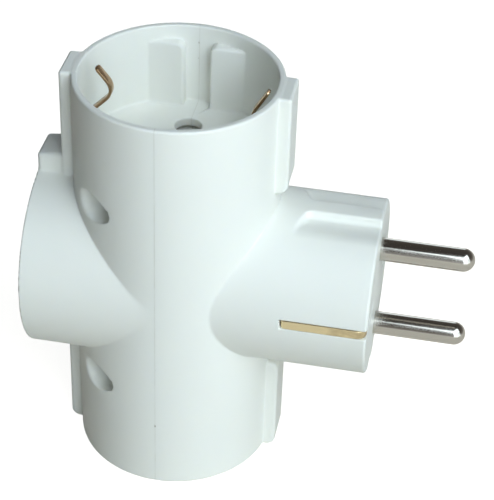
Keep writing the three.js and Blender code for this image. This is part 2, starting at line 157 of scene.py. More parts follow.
# Rounded edges and fillets
RIM_ROUND = 0.35
EDGE_ROUND = 0.3
TUBE_END_ROUND = 0.45
SIDE_END_ROUND = 0.2
CREASE_ROUND = 0.12
PLUG_FILLET = 0.15
RIB_ROUND = 0.7
TAB_ROUND = 0.9
PAD_ROUND = 0.5
PAD_CORNER_ROUND = 1.5
RECESS_FLOOR_ROUND = 0.5
HOLE_ROUND = 0.15
CAVITY_ROUND = 0.5
POST_ROUND = 0.3
REST_ROUND = 0.2
NOTCH_START_ROUND = 1.0
NOTCH_SIDE_ROUND = 0.9
NOTCH_RIM_ROUND = 0.45
GROOVE_ROUND = 0.12
WELL_ROUND = 0.45

# Places worked out from the sizes
END_FLOOR = TUBE_HALF - RECESS_DEPTH
SIDE_FLOOR = SIDE_REACH - RECESS_DEPTH
RIB_OUTER = TUBE_R + RIB_RISE
NOTCH_FLOOR = PLUG_R - NOTCH_DEPTH
NOTCH_START = PLUG_REACH - NOTCH_LENGTH
PLUG_CAVITY_R = PLUG_R - PLUG_WALL
PLUG_CAVITY_END = PLUG_REACH - PLUG_FACE_THICK
CLIP_WALL = RECESS_R - METAL_GAP - CLIP_SHEET / 2
CLIP_FOOT = FLOOR_THICK + METAL_GAP + CLIP_SHEET
CONTACT_DEPTH = PIN_LENGTH + CONTACT_BASE_ROOM + CONTACT_SHEET
BUSBAR_WEB = CONTACT_DEPTH - SIDE_FLOOR + METAL_GAP
STRIP_LINE_Y = PLUG_R - STRIP_RECESS - STRIP_SHEET / 2
STRIP_LINE_FACE = PLUG_REACH - STRIP_RECESS - STRIP_SHEET / 2
STRIP_TAIL_Y = STRIP_LINE_Y - STRIP_ON_FACE
ARM_TAB_X = PLUG_CAVITY_END - ARM_TAB_SETBACK
SCREW_BORE_R = SCREW_R + METAL_GAP
SCREW_END = SCREW_LENGTH - SCREW_SEAT


# Distance fields: negative inside the solid, in millimetres

def overlap(a, b, r=0.0):
    """The solid inside both a and b, with the edge between them rounded by r."""
    if r == 0:
        return np.maximum(a, b)
    corner = np.hypot(np.maximum(a + r, 0), np.maximum(b + r, 0))
    return np.minimum(-r, np.maximum(a, b)) + corner


def union(a, b, r=0.0):
    """The solid inside a or b, with a fillet of radius r between them."""
    return -overlap(-a, -b, r)


def cut(a, b, r=0.0):
    """Solid a without solid b, with the new edge rounded by r."""
    return overlap(a, -b, r)


def between(value, low, high):
    """Negative where the value lies between low and high."""
    return np.maximum(low - value, value - high)


def socket_frames(x, y, z):
    """Each socket's own axes: across its clips, along its pin holes, up from its floor."""
    return [
        (x, y, z - END_FLOOR),
        (-x, y, -z - END_FLOOR),
        (z, y, -x - SIDE_FLOOR),
    ]


def outside_field(x, y, z):
    """The outside of the moulding: tube, side socket, plug, ribs and tab."""
    tube = overlap(np.hypot(x, y) - TUBE_R, np.abs(z) - TUBE_HALF, TUBE_END_ROUND)
    side = overlap(np.hypot(y, z) - TUBE_R, -x - SIDE_REACH, SIDE_END_ROUND)
    side = np.maximum(side, x)
    plug = overlap(np.hypot(y, z) - PLUG_R, x - PLUG_REACH, PLUG_EDGE_ROUND)
    plug = np.maximum(plug, -x)
    whole = union(union(tube, side, CREASE_ROUND), plug, PLUG_FILLET)
    wide = np.abs(y) - RIB_HALF

    def rib(out, low, high, low_round, high_round):
        profile = overlap(out - RIB_OUTER, low - z, low_round)
        profile = overlap(profile, z - high, high_round)
        return np.maximum(overlap(profile, wide, RIB_ROUND), RECESS_R - out)

    upper_end = PLUG_R + UPPER_RIB_GAP
    lower_end = -PLUG_R - LOWER_RIB_GAP
    whole = union(whole, rib(x, upper_end, TUBE_HALF, RIB_END_ROUND, RIB_ROUND), EDGE_ROUND)
    whole = union(whole, rib(x, -TUBE_HALF, lower_end, RIB_END_ROUND, RIB_END_ROUND), EDGE_ROUND)
    whole = union(whole, rib(-x, -TUBE_HALF, TUBE_HALF, RIB_END_ROUND, RIB_ROUND), EDGE_ROUND)
    tab_top = TUBE_R + TAB_RISE + (x + SIDE_REACH) * TAB_DRAFT
    tab = overlap(overlap(z - tab_top, -x - SIDE_REACH, RIB_ROUND), np.abs(y) - TAB_HALF, TAB_ROUND)
    tab = np.maximum(np.maximum(tab, x + RECESS_R), RECESS_R - z)
    low_rib = overlap(overlap(-z - RIB_OUTER, -x - SIDE_REACH, RIB_ROUND), wide, RIB_ROUND)
    low_rib = np.maximum(np.maximum(low_rib, x + RECESS_R), RECESS_R + z)
    return union(union(whole, tab, EDGE_ROUND), low_rib, EDGE_ROUND)


def post_field(x, y, z):
    """The posts that the case screws run through."""
    line = np.hypot(np.abs(y) - SCREW_Y, np.abs(z) - SCREW_Z)
    wide = overlap(line - SCREW_WELL_R - SCREW_BOSS_WALL, x + SCREW_SEAT - SCREW_BOSS_WALL)
    return np.minimum(wide, line - SCREW_BORE_R - SCREW_BOSS_WALL)


def cavity_field(x, y, z):
    """The hollow in the middle, round the side socket's cup, the posts and the busbar rests."""
    tube = overlap(np.hypot(x, y) - RECESS_R, np.abs(z) - (END_FLOOR - FLOOR_THICK), CAVITY_ROUND)
    cup = overlap(np.hypot(y, z) - TUBE_R, x + SIDE_FLOOR - FLOOR_THICK, CAVITY_ROUND)
    plug = overlap(np.hypot(y, z) - PLUG_CAVITY_R, x - PLUG_CAVITY_END, CAVITY_ROUND)
    hollow = union(cut(tube, cup, CAVITY_ROUND), np.maximum(plug, -x), CAVITY_ROUND)
    hollow = cut(hollow, post_field(x, y, z), POST_ROUND)
    rest_start = BUSBAR_WEB + BUSBAR_SHEET + METAL_GAP
    rest = overlap(np.abs(z) - BUSBAR_WIDTH / 2, PIN_OFFSET - np.abs(y), REST_ROUND)
    rest = overlap(rest, between(x, rest_start, rest_start + BUSBAR_REST), REST_ROUND)
    return cut(hollow, rest, POST_ROUND)


def recess_field(u, v, w):
    """What is hollow in one socket: recess round its guide pads, pin holes and clip slots."""
    recess = overlap(np.hypot(u, v) - RECESS_R, -w, RECESS_FLOOR_ROUND)
    pad = overlap(GUIDE_GROOVE_HALF - np.abs(u), w - (RECESS_DEPTH - GUIDE_DROP), PAD_CORNER_ROUND)
    pad = overlap(pad, GUIDE_FLAT - np.abs(v), PAD_ROUND)
    recess = cut(recess, pad, HOLE_ROUND)
    through_floor = between(w, -FLOOR_THICK - PAST, PAST / 2)
    hole = overlap(np.hypot(u, np.abs(v) - PIN_OFFSET) - PIN_HOLE_R, through_floor)
    slot_inner = CLIP_WALL - CLIP_SHEET / 2 - METAL_GAP
    slot = np.maximum(between(np.abs(u), slot_inner, RECESS_R), np.abs(v) - CLIP_WIDTH / 2 - METAL_GAP)
    slot = np.maximum(slot, through_floor)
    return union(union(recess, hole, HOLE_ROUND), slot, HOLE_ROUND)


def plug_cut_field(x, y, z):
    """What is cut into the plug: its guide notches, and apart from them the strip grooves and pin holes."""
    start = NOTCH_START - NOTCH_SLANT * (np.abs(y) - RIDGE_HALF)
    notch = overlap((start - x) / math.hypot(1, NOTCH_SLANT), NOTCH_FLOOR - np.abs(z), NOTCH_START_ROUND)
    notch = overlap(notch, RIDGE_HALF - np.abs(y), NOTCH_SIDE_ROUND)
    across = np.abs(z + STRIP_OFFSET * np.sign(y)) - STRIP_WIDTH / 2 - STRIP_SIDE_ROOM
    out = np.abs(y)
    deep = STRIP_RECESS + STRIP_SHEET + METAL_GAP
    tail = STRIP_TAIL_Y - STRIP_SHEET / 2 - STRIP_RECESS
    leg_end = STRIP_START + STRIP_SHEET + 2 * METAL_GAP
    groove = np.maximum(STRIP_START - x, PLUG_R - deep - out)
    leg = np.maximum(between(x, STRIP_START, leg_end), PLUG_CAVITY_R - PAST - out)
    face = np.maximum(PLUG_REACH - deep - x, tail - out)
    tail_slot = between(out, tail - STRIP_SLOT_ROOM, STRIP_TAIL_Y + STRIP_SHEET)
    through = np.maximum(PLUG_CAVITY_END - PAST - x, tail_slot)
    grooves = np.maximum(np.minimum(np.minimum(groove, leg), np.minimum(face, through)), across)
    pin = np.hypot(y, np.abs(z) - PIN_OFFSET) - PIN_R - PIN_FIT
    pin = np.maximum(pin, PLUG_CAVITY_END - PAST - x)
    return notch, np.minimum(grooves, pin)


def screw_cut_field(x, y, z):
    """The wells and bores of the case screws."""
    line = np.hypot(np.abs(y) - SCREW_Y, np.abs(z) - SCREW_Z)
    well = overlap(line - SCREW_WELL_R, x + SCREW_SEAT)
    return np.minimum(well, np.maximum(line - SCREW_BORE_R, x - SCREW_END - PAST))


def body_field(x, y, z):
    """The whole white moulding, before it is split in two."""
    whole = cut(outside_field(x, y, z), cavity_field(x, y, z))
    for u, v, w in socket_frames(x, y, z):
        whole = cut(whole, recess_field(u, v, w), RIM_ROUND)
    notch, grooves = plug_cut_field(x, y, z)
    whole = cut(whole, notch, NOTCH_RIM_ROUND)
    whole = cut(whole, grooves, GROOVE_ROUND)
    return cut(whole, screw_cut_field(x, y, z), WELL_ROUND)


# Meshes from distance fields

def field_on_grid(field, low, high, step):
    """The field on a regular grid, worked out slab by slab."""
    axes = [np.arange(a, b + step, step, dtype=np.float32) for a, b in zip(low, high)]
    values = np.empty([len(axis) for axis in axes], np.float32)
    y, z = np.meshgrid(axes[1], axes[2], indexing="ij")
    for i, x in enumerate(axes[0]):
        values[i] = field(np.full_like(y, x), y, z)
    return values


def field_slope(field, points, reach=0.02):
    """The outward unit direction of the field at each point, and its value there."""
    corners = np.array([(1, -1, -1), (-1, -1, 1), (-1, 1, -1), (1, 1, 1)], float)
    slope = np.zeros_like(points)
    for corner in corners:
        at = points + corner * reach
        slope += corner * field(at[:, 0], at[:, 1], at[:, 2])[:, None]
    slope /= np.maximum(np.linalg.norm(slope, axis=1, keepdims=True), 1e-9)
    return slope, field(points[:, 0], points[:, 1], points[:, 2])


def settle(field, points, rounds=3, most=0.3):
    """Moves points onto the surface of the field."""
    for _ in range(rounds):
        slope, value = field_slope(field, points)
        points = points - slope * np.clip(value, -most, most)[:, None]
    return points


def mesh_points(mesh):
    flat = np.empty(len(mesh.vertices) * 3, np.float32)
    mesh.vertices.foreach_get("co", flat)
    return flat.reshape(-1, 3).astype(float)


def set_mesh_points(mesh, points):
    mesh.vertices.foreach_set("co", points.astype(np.float32).ravel())
    mesh.update()


def mesh_from_field(name, field, low, high, step):
    """A closed mesh of the field's surface, in millimetres."""
    low = np.array(low, float)
    values = field_on_grid(field, low, high, step)
    band = 3 * step
    grid = openvdb.FloatGrid(band)
    grid.copyFromArray(np.clip(values, -band, band))
    points, triangles, quads = grid.convertToPolygons(isovalue=0.0)
    points = settle(field, points * step + low)
    mesh = bpy.data.meshes.new(name)
    mesh.from_pydata(points.tolist(), [], triangles.tolist() + quads.tolist())
    return mesh


def thinned(mesh, triangles):
    """The mesh with its flat stretches thinned to about so many triangles."""
    holder = bpy.data.objects.new("thinning", mesh)
    bpy.context.collection.objects.link(holder)
    thin = holder.modifiers.new("thin", "DECIMATE")
    thin.ratio = min(1.0, triangles / sum(len(face.vertices) - 2 for face in mesh.polygons))
    evaluated = holder.evaluated_get(bpy.context.evaluated_depsgraph_get())
    result = bpy.data.meshes.new_from_object(evaluated)
    bpy.data.objects.remove(holder)
    return result


def half_mesh(mesh, name, side):
    """The part of the mesh on one side of the seam, closed by a flat face along it."""
    half = bmesh.new()
    half.from_mesh(mesh)
    geometry = half.verts[:] + half.edges[:] + half.faces[:]
    parted = bmesh.ops.bisect_plane(
        half, geom=geometry, dist=1e-5, clear_inner=True,
        plane_co=(side * SEAM_GAP / 2, 0, 0), plane_no=(side, 0, 0),
    )
    rim = [part for part in parted["geom_cut"] if isinstance(part, bmesh.types.BMEdge)]
    filled = bmesh.ops.triangle_fill(half, edges=rim, use_beauty=True, normal=(-side, 0, 0))
    for face in half.faces:
        face.smooth = True
    for part in filled["geom"]:
        if isinstance(part, bmesh.types.BMFace):
            part.smooth = False
            if part.normal.x * side > 0:
                part.normal_flip()
    result = bpy.data.meshes.new(name)
    half.to_mesh(result)
    open_edges = sum(1 for edge in half.edges if len(edge.link_faces) != 2)
    print(name, "faces", len(half.faces), "open edges", open_edges)
    half.free()
    return result


def shade_from_field(mesh, field):
    """Gives smooth faces the field's own surface directions, so that small rounds shade cleanly."""
    slopes = field_slope(field, mesh_points(mesh))[0]
    normals = np.empty((len(mesh.loops), 3))
    for face in mesh.polygons:
        corners = list(face.loop_indices)
        if face.use_smooth:
            normals[corners] = slopes[list(face.vertices)]
        else:
            normals[corners] = face.normal
    mesh.normals_split_custom_set(normals.tolist())


# Objects

ORIGIN = Vector((-PLUG_REACH, 0, 0))


def dress(name, mesh, material, slot, *nodes, turn=None):
    """Turns a mesh in millimetres into a piece in the part's frame that stands for its CAD nodes."""
    place = Matrix.Translation(ORIGIN) @ (turn or Matrix.Identity(4))
    mesh.transform(Matrix.Scale(MM, 4) @ place)
    mesh.materials.clear()
    mesh.materials.append(material)
    piece = bpy.data.objects.new(name, mesh)
    bpy.context.collection.objects.link(piece)
    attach(piece, "root")
    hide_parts(*nodes)
    return piece


def turned_mesh(name, profile, steps=96):
    """A turned piece about X from pairs of radius and place along X, first and last on the axis."""
    points = []
    faces = []
    for radius, along in profile[1:-1]:
        for i in range(steps):
            angle = 2 * math.pi * i / steps
            points.append((along, radius * math.cos(angle), radius * math.sin(angle)))
    rings = len(profile) - 2
    for ring in range(rings - 1):
        for i in range(steps):
            j = (i + 1) % steps
            a, b = ring * steps, (ring + 1) * steps
            faces.append((a + i, a + j, b + j, b + i))
    first, last = len(points), len(points) + 1
    points += [(profile[0][1], 0, 0), (profile[-1][1], 0, 0)]
    top = (rings - 1) * steps
    for i in range(steps):
        j = (i + 1) % steps
        faces.append((first, j, i))
        faces.append((last, top + i, top + j))
    mesh = bpy.data.meshes.new(name)
    mesh.from_pydata(points, [], faces)
    return mesh


def arc(centre, radius, start, end, steps):
    """Points on an arc, angles in degrees."""
    angles = [math.radians(start + (end - start) * i / steps) for i in range(steps + 1)]
    return [(centre[0] + radius * math.cos(a), centre[1] + radius * math.sin(a)) for a in angles]


def bent_line(corners, radii, steps=10):
    """The middle line of a bent strip, each inner corner rounded by its own radius."""
    corners = [Vector(corner) for corner in corners]
    line = [corners[0]]
    for before, here, after, radius in zip(corners, corners[1:], corners[2:], radii):
        back = (before - here).normalized()
        ahead = (after - here).normalized()
        run = radius / math.tan(back.angle(ahead) / 2)
        start, end = here + back * run, here + ahead * run
        for i in range(steps + 1):
            t = i / steps
            line.append(start * (1 - t) ** 2 + here * 2 * t * (1 - t) + end * t ** 2)
    return line + [corners[-1]]


def spaced(line, most):
    """The same line with no step longer than most."""
    points = [line[0]]
    for before, here in zip(line, line[1:]):
        count = max(1, math.ceil((here - before).length / most))
        points += [before.lerp(here, i / count) for i in range(1, count + 1)]
    return points


STRIP_STEP = 0.5
TIP_STEPS = 12
CORNER_STEPS = 3


def strip_mesh(name, line, sheet, width, corner=0.14, tip_round=0.0):
    """A bent strip along a line in the first and last axes, as wide as width along the middle one.

    Its attribute edge runs from 0 on the middle of the strip to 1 along its two long edges.
    With tip_round, the corners of its first end are rounded in the plane of the sheet."""
    line = spaced(line, STRIP_STEP)
    if tip_round:
        ahead = (line[1] - line[0]).normalized()
        close = [line[0] + ahead * (tip_round * i / TIP_STEPS) for i in range(1, TIP_STEPS)]
        line = close + [point for point in line if (point - line[0]).length > tip_round]
    tip = line[0]
    section = []
    for cy, cn, start in ((1, 1, 0), (-1, 1, 90), (-1, -1, 180), (1, -1, 270)):
        centre = (cy * (width / 2 - corner), cn * (sheet / 2 - corner))
        section += arc(centre, corner, start, start + 90, CORNER_STEPS)
    section = [point for i, point in enumerate(section) if math.dist(point, section[i - 1]) > 1e-6]
    rings = [line[0], *line, line[-1]]
    points = []
    edges = []
    count = len(line)
    for index, point in enumerate(rings):
        i = min(max(index - 1, 0), count - 1)
        along = (line[min(i + 1, count - 1)] - line[max(i - 1, 0)]).normalized()
        normal = Vector((-along[1], along[0]))
        end = index in (0, len(rings) - 1)
        inset = corner if end else 0.0
        at = point
        if index == 1:
            at = point + along * corner
        if index == len(rings) - 2:
            at = point - along * corner
        rest = max(tip_round - (point - tip).length, 0)
        inset_across = inset + tip_round - math.sqrt(max(tip_round ** 2 - rest ** 2, 0))
        for across, deep in section:
            across_in = math.copysign(max(abs(across) - inset_across, 0), across)
            deep_in = math.copysign(max(abs(deep) - inset, 0), deep)
            points.append((at[0] + normal[0] * deep_in, across_in, at[1] + normal[1] * deep_in))
            edges.append(min(1.0, abs(across) / (width / 2)))
    n = len(section)
    faces = []
    for ring in range(len(rings) - 1):
        for i in range(n):
            j = (i + 1) % n
            a, b = ring * n, (ring + 1) * n
            faces.append((a + j, a + i, b + i, b + j))
    faces.append(tuple(range(n)))
    faces.append(tuple(range(len(points) - 1, len(points) - n - 1, -1)))
    mesh = bpy.data.meshes.new(name)
    mesh.from_pydata(points, [], faces)
    attribute = mesh.attributes.new("edge", "FLOAT", "POINT")
    attribute.data.foreach_set("value", edges)
    return mesh


def smooth(mesh, angle=40):
    """Smooth shading, apart from edges sharper than the angle."""
    solid = bmesh.new()
    solid.from_mesh(mesh)
    bmesh.ops.recalc_face_normals(solid, faces=solid.faces)
    solid.to_mesh(mesh)
    solid.free()
    mesh.shade_smooth()
    mesh.set_sharp_from_angle(angle=math.radians(angle))
    return mesh


# Materials

class Nodes:
    """A small helper that adds and links nodes in one material."""

    def __init__(self, name):
        self.material = bpy.data.materials.new(name)
        self.material.use_nodes = True
        self.tree = self.material.node_tree
        self.shader = self.tree.nodes["Principled BSDF"]
        self.place = self.add("ShaderNodeTexCoord").outputs["Object"]

    def add(self, kind, **inputs):
        node = self.tree.nodes.new(kind)
        for name, value in inputs.items():
            self.put(node, name, value)
        return node

    def put(self, node, name, value):
        socket = node.inputs[name.replace("_", " ")]
        if isinstance(value, bpy.types.NodeSocket):
            self.tree.links.new(value, socket)
        else:
            socket.default_value = value

    def shade(self, name, value):
        self.put(self.shader, name, value)

    def maths(self, operation, a, b=0.0, clamp=False):
        node = self.tree.nodes.new("ShaderNodeMath")
        node.operation = operation
        node.use_clamp = clamp
        for socket, value in zip(node.inputs, (a, b)):
            if isinstance(value, bpy.types.NodeSocket):
                self.tree.links.new(value, socket)
            else:
                socket.default_value = value
        return node.outputs[0]

    def noise(self, scale, detail=2.0, stretch=(1, 1, 1), roughness=0.5):
        mapping = self.add("ShaderNodeMapping", Vector=self.place, Scale=stretch)
        node = self.add("ShaderNodeTexNoise", Scale=scale, Detail=detail, Roughness=roughness,
                        Vector=mapping.outputs[0])
        return node.outputs["Fac"]

    def ramp(self, value, low, high, from_low=0.0, from_high=1.0):
        node = self.add("ShaderNodeMapRange", Value=value)
        node.inputs["From Min"].default_value = from_low
        node.inputs["From Max"].default_value = from_high
        node.inputs["To Min"].default_value = low
        node.inputs["To Max"].default_value = high
        return node.outputs[0]

    def mix(self, factor, a, b):
        node = self.tree.nodes.new("ShaderNodeMix")
        node.data_type = "RGBA"
        for socket, value in ((node.inputs[0], factor), (node.inputs[6], a), (node.inputs[7], b)):
            if isinstance(value, bpy.types.NodeSocket):
                self.tree.links.new(value, socket)
            else:
                socket.default_value = (*value, 1.0) if isinstance(value, tuple) else value
        return node.outputs[2]

    def bump(self, height, strength, distance):
        node = self.add("ShaderNodeBump", Height=height, Strength=strength, Distance=distance)
        self.shade("Normal", node.outputs[0])

    def along(self, axis):
        return self.add("ShaderNodeSeparateXYZ", Vector=self.place).outputs[axis]


def white_plastic():
    """Satin moulded plastic, faintly warm, with flow marks and specks of dust along the seam."""
    n = Nodes("white_plastic")
    flow = n.noise(60, 3)
    fine = n.noise(1400, 2)
    base = n.mix(flow, (0.880, 0.886, 0.828), (0.906, 0.906, 0.848))
    seam = n.maths("ABSOLUTE", n.maths("ADD", n.along("X"), PLUG_REACH * MM))
    near = n.ramp(seam, 1.0, 0.0, 0.04 * MM, 0.14 * MM)
    patchy = n.ramp(n.noise(300, 2), 0.3, 0.8, 0.35, 0.65)
    film = n.mix(n.maths("MULTIPLY", near, patchy), base, (0.76, 0.75, 0.67))
    close = n.ramp(seam, 1.0, 0.0, 0.10 * MM, 0.30 * MM)
    speck = n.ramp(n.noise(700, 3), 0.0, 1.0, 0.70, 0.76)
    n.shade("Base Color", n.mix(n.maths("MULTIPLY", close, speck), film, (0.34, 0.31, 0.22)))
    n.shade("Roughness", n.ramp(n.noise(180, 3), 0.38, 0.50))
    n.shade("IOR", 1.49)
    n.shade("Subsurface Weight", 0.12)
    n.shade("Subsurface Radius", (1.0, 0.85, 0.6))
    n.shade("Subsurface Scale", 0.0012)
    height = n.maths("ADD", n.maths("MULTIPLY", flow, 0.9), n.maths("MULTIPLY", fine, 0.03))
    n.bump(height, 0.25, 0.00012)
    return n.material


def nickel():
    """Turned and plated pins: fine rings from turning, scuffs along the pin."""
    n = Nodes("nickel")
    scuff = n.noise(1000, 3, (0.05, 1.6, 1.6))
    rings = n.noise(1000, 2, (3.0, 0.05, 0.05))
    n.shade("Metallic", 1.0)
    n.shade("Base Color", n.mix(scuff, (0.50, 0.47, 0.42), (0.66, 0.63, 0.58)))
    n.shade("Roughness", n.ramp(scuff, 0.10, 0.22, 0.3, 0.7))
    n.bump(n.maths("ADD", scuff, n.maths("MULTIPLY", rings, 0.6)), 0.35, 0.00002)
    return n.material


def brass():
    """Stamped sheet, satin, dulled in patches."""
    n = Nodes("brass")
    patch = n.noise(350, 4)
    grain = n.noise(1200, 2, (0.08, 1, 1))
    n.shade("Metallic", 1.0)
    n.shade("Base Color", n.mix(n.ramp(patch, 0.0, 1.0, 0.4, 0.75), (0.86, 0.68, 0.38), (0.55, 0.40, 0.20)))
    n.shade("Roughness", n.ramp(grain, 0.28, 0.42))
    n.bump(grain, 0.3, 0.00002)
    return n.material


def strip_brass():
    """The plug's earth strips: pale brass, worn where an outlet's clips slide over the front, with painted
    shade along the long edges.
    """
    n = Nodes("strip_brass")
    patch = n.noise(500, 4, (0.4, 1, 1))
    front = n.ramp(n.along("X"), 0.0, 1.0, -11.0 * MM, -2.0 * MM)
    worn = n.maths("MULTIPLY", front, n.ramp(patch, 0.2, 1.0, 0.35, 0.6), clamp=True)
    edge = n.add("ShaderNodeAttribute")
    edge.attribute_name = "edge"
    # Painted shade darkens the strip's long edges; the darkening near the front is the brass's own wear
    dark = n.maths("MAXIMUM", worn, n.ramp(edge.outputs["Fac"], 0.0, 0.6, 0.8, 1.0))
    n.shade("Metallic", 1.0)
    n.shade("Base Color", n.mix(dark, (0.98, 0.83, 0.52), (0.42, 0.30, 0.16)))
    n.shade("Roughness", n.ramp(patch, 0.26, 0.44))
    n.bump(n.noise(1500, 2, (0.1, 1, 1)), 0.3, 0.00002)
    return n.material


def spring_bronze():
    """The earth clips: warm bronze, darker in patches, with painted shade darkening them towards the edges.
    """
    n = Nodes("spring_bronze")
    edge = n.add("ShaderNodeAttribute")
    edge.attribute_name = "edge"
    patch = n.noise(600, 4)
    # Painted shade towards the clip's long edges, added to the bronze's own darker patches
    dark = n.ramp(n.maths("ADD", edge.outputs["Fac"], n.maths("MULTIPLY", patch, 0.8)), 0.0, 1.0, 0.9, 1.7)
    n.shade("Metallic", 1.0)
    n.shade("Base Color", n.mix(dark, (0.72, 0.50, 0.31), (0.36, 0.22, 0.12)))
    n.shade("Roughness", n.ramp(patch, 0.16, 0.30))
    n.bump(n.noise(1500, 2), 0.35, 0.00003)
    return n.material


def zinc_steel():
    """Zinc-plated screws, faintly mottled."""
    n = Nodes("zinc_steel")
    patch = n.noise(900, 4)
    n.shade("Metallic", 1.0)
    n.shade("Base Color", n.mix(patch, (0.50, 0.51, 0.53), (0.68, 0.68, 0.69)))
    n.shade("Roughness", n.ramp(patch, 0.3, 0.48))
    n.bump(patch, 0.25, 0.00002)
    return n.material


WHITE = white_plastic()
NICKEL = nickel()
BRASS = brass()
STRIP_BRASS = strip_brass()
BRONZE = spring_bronze()
ZINC = zinc_steel()

# The two white mouldings
BODY_MARGIN = (1.4, 1.1, 1.2)
BODY_LOW = (-SIDE_REACH - BODY_MARGIN[0], -TUBE_R - BODY_MARGIN[1], -TUBE_HALF - BODY_MARGIN[2])
BODY_HIGH = (PLUG_REACH + BODY_MARGIN[0], TUBE_R + BODY_MARGIN[1], TUBE_HALF + BODY_MARGIN[2])
BODY_STEP = 0.4
BODY_TRIANGLES = 330000

body_mesh = mesh_from_field("body", body_field, BODY_LOW, BODY_HIGH, BODY_STEP)
body_mesh = thinned(body_mesh, BODY_TRIANGLES)
set_mesh_points(body_mesh, settle(body_field, mesh_points(body_mesh), 2, 0.1))
for name, node, side in (("socket_half", "socket_side_shell", -1), ("plug_half", "plug_side_shell", 1)):
    half = half_mesh(body_mesh, name, side)
    shade_from_field(half, body_field)
    dress(name, half, WHITE, "white_plastic", node)

# Plug pins, with their collars and riveted ends behind the face
PIN_STEPS = 12
PIN_TIP = PLUG_REACH + PIN_LENGTH
COLLAR_OUT = PLUG_CAVITY_END - METAL_GAP
COLLAR_IN = COLLAR_OUT - COLLAR_HEIGHT
SHOULDER = ARM_TAB_X + BUSBAR_SHEET + METAL_GAP
RIVET_OUT = ARM_TAB_X - METAL_GAP
RIVET_END = RIVET_OUT - RIVET_HEIGHT
rivet_edge = arc((RIVET_R - RIVET_ROUND, RIVET_END + RIVET_ROUND), RIVET_ROUND, -90, 0, 4)
pin_profile = [(0, RIVET_END), *rivet_edge]
pin_profile += [(RIVET_R, RIVET_OUT), (SPIGOT_R, RIVET_OUT), (SPIGOT_R, SHOULDER), (PIN_R, SHOULDER)]
bevel_in = [(COLLAR_R - COLLAR_BEVEL, COLLAR_IN), (COLLAR_R, COLLAR_IN + COLLAR_BEVEL)]
bevel_out = [(COLLAR_R, COLLAR_OUT - COLLAR_BEVEL), (COLLAR_R - COLLAR_BEVEL, COLLAR_OUT)]
pin_profile += [(PIN_R, COLLAR_IN), *bevel_in, *bevel_out, (PIN_R, COLLAR_OUT)]
pin_run = PIN_TIP - COLLAR_OUT
pin_profile += [(PIN_R, COLLAR_OUT + pin_run * i / PIN_STEPS) for i in range(1, PIN_STEPS - 2)]
pin_profile += arc((0, PIN_TIP - PIN_R), PIN_R, 0, 88, 16) + [(0, PIN_TIP)]
for name, side in (("live_pin", 1), ("neutral_pin", -1)):
    pin = smooth(turned_mesh(name, pin_profile), 50)
    dress(f"plug_{name}", pin, NICKEL, "nickel", name, turn=Matrix.Translation((0, 0, side * PIN_OFFSET)))

# Each socket's own axes, as they lie in the part: floor centre, then across the clips, pin holes, out
SOCKETS = {
    "top": Matrix.Translation((0, 0, END_FLOOR)),
    "bottom": Matrix.Rotation(math.pi, 4, "Y") @ Matrix.Translation((0, 0, END_FLOOR)),
    "side": Matrix.Rotation(-math.pi / 2, 4, "Y") @ Matrix.Translation((0, 0, SIDE_FLOOR)),
}
CLIP_SIDES = {"top": ("right", "left"), "bottom": ("left", "right"), "side": ("upper", "lower")}

clip_foot = -CLIP_FOOT + CLIP_SHEET / 2
clip_lines = []
for tip, inner, heel in CLIP_BENDS.values():
    clip_lines.append(bent_line([
        tip, inner, (CLIP_WALL, heel), (CLIP_WALL, clip_foot), (CLIP_WALL - CLIP_FOOT_REACH, clip_foot),
    ], [CLIP_APEX_ROUND, CLIP_HEEL_ROUND, CLIP_SHEET]))
contact_wide = CONTACT_GRIP / 2 + CONTACT_SHEET / 2
contact_mouth = -FLOOR_THICK - METAL_GAP
contact_base = -PIN_LENGTH - CONTACT_BASE_ROOM - CONTACT_SHEET / 2
contact_line = bent_line([
    (contact_wide + CONTACT_SHEET, contact_mouth), (contact_wide, contact_mouth - CONTACT_PINCH),
    (contact_wide, contact_base), (-contact_wide, contact_base),
    (-contact_wide, contact_mouth - CONTACT_PINCH), (-contact_wide - CONTACT_SHEET, contact_mouth),
], [CONTACT_SHEET] * 4)

for socket, place in SOCKETS.items():
    for i, side in enumerate(CLIP_SIDES[socket]):
        clip = smooth(strip_mesh("clip", clip_lines[i], CLIP_SHEET, CLIP_WIDTH, tip_round=CLIP_TIP_ROUND))
        node = f"{socket}_earth_clip_{side}"
        turn = place @ Matrix.Rotation(i * math.pi, 4, "Z")
        dress(f"{node}_spring", clip, BRONZE, "bronze", node, turn=turn)
    for pole, row in (("live", -1), ("neutral", 1)):
        contact = smooth(strip_mesh("contact", contact_line, CONTACT_SHEET, CONTACT_WIDTH))
        node = f"{socket}_{pole}_contact"
        turn = place @ Matrix.Translation((0, row * PIN_OFFSET, 0))
        dress(f"{node}_spring", contact, BRASS, "brass", node, turn=turn)

# Earth strips of the plug: drawn flat in the plane of X and the plug's side, then turned to it
leg_x = STRIP_START + METAL_GAP + STRIP_SHEET / 2
strip_line = bent_line([
    (leg_x, FRAME_SHEET / 2 + METAL_GAP), (leg_x, STRIP_LINE_Y), (STRIP_LINE_FACE, STRIP_LINE_Y),
    (STRIP_LINE_FACE, STRIP_TAIL_Y), (PLUG_CAVITY_END, STRIP_TAIL_Y),
], [STRIP_SHEET / 2, STRIP_BEND, STRIP_SHEET])
for name, quarter in (("front", 1), ("rear", -1)):
    strip = smooth(strip_mesh("strip", strip_line, STRIP_SHEET, STRIP_WIDTH))
    node = f"plug_earth_strip_{name}"
    turn = Matrix.Rotation(quarter * math.pi / 2, 4, "X") @ Matrix.Translation((0, STRIP_OFFSET, 0))
    dress(f"{node}_metal", strip, STRIP_BRASS, "brass", node, turn=turn)


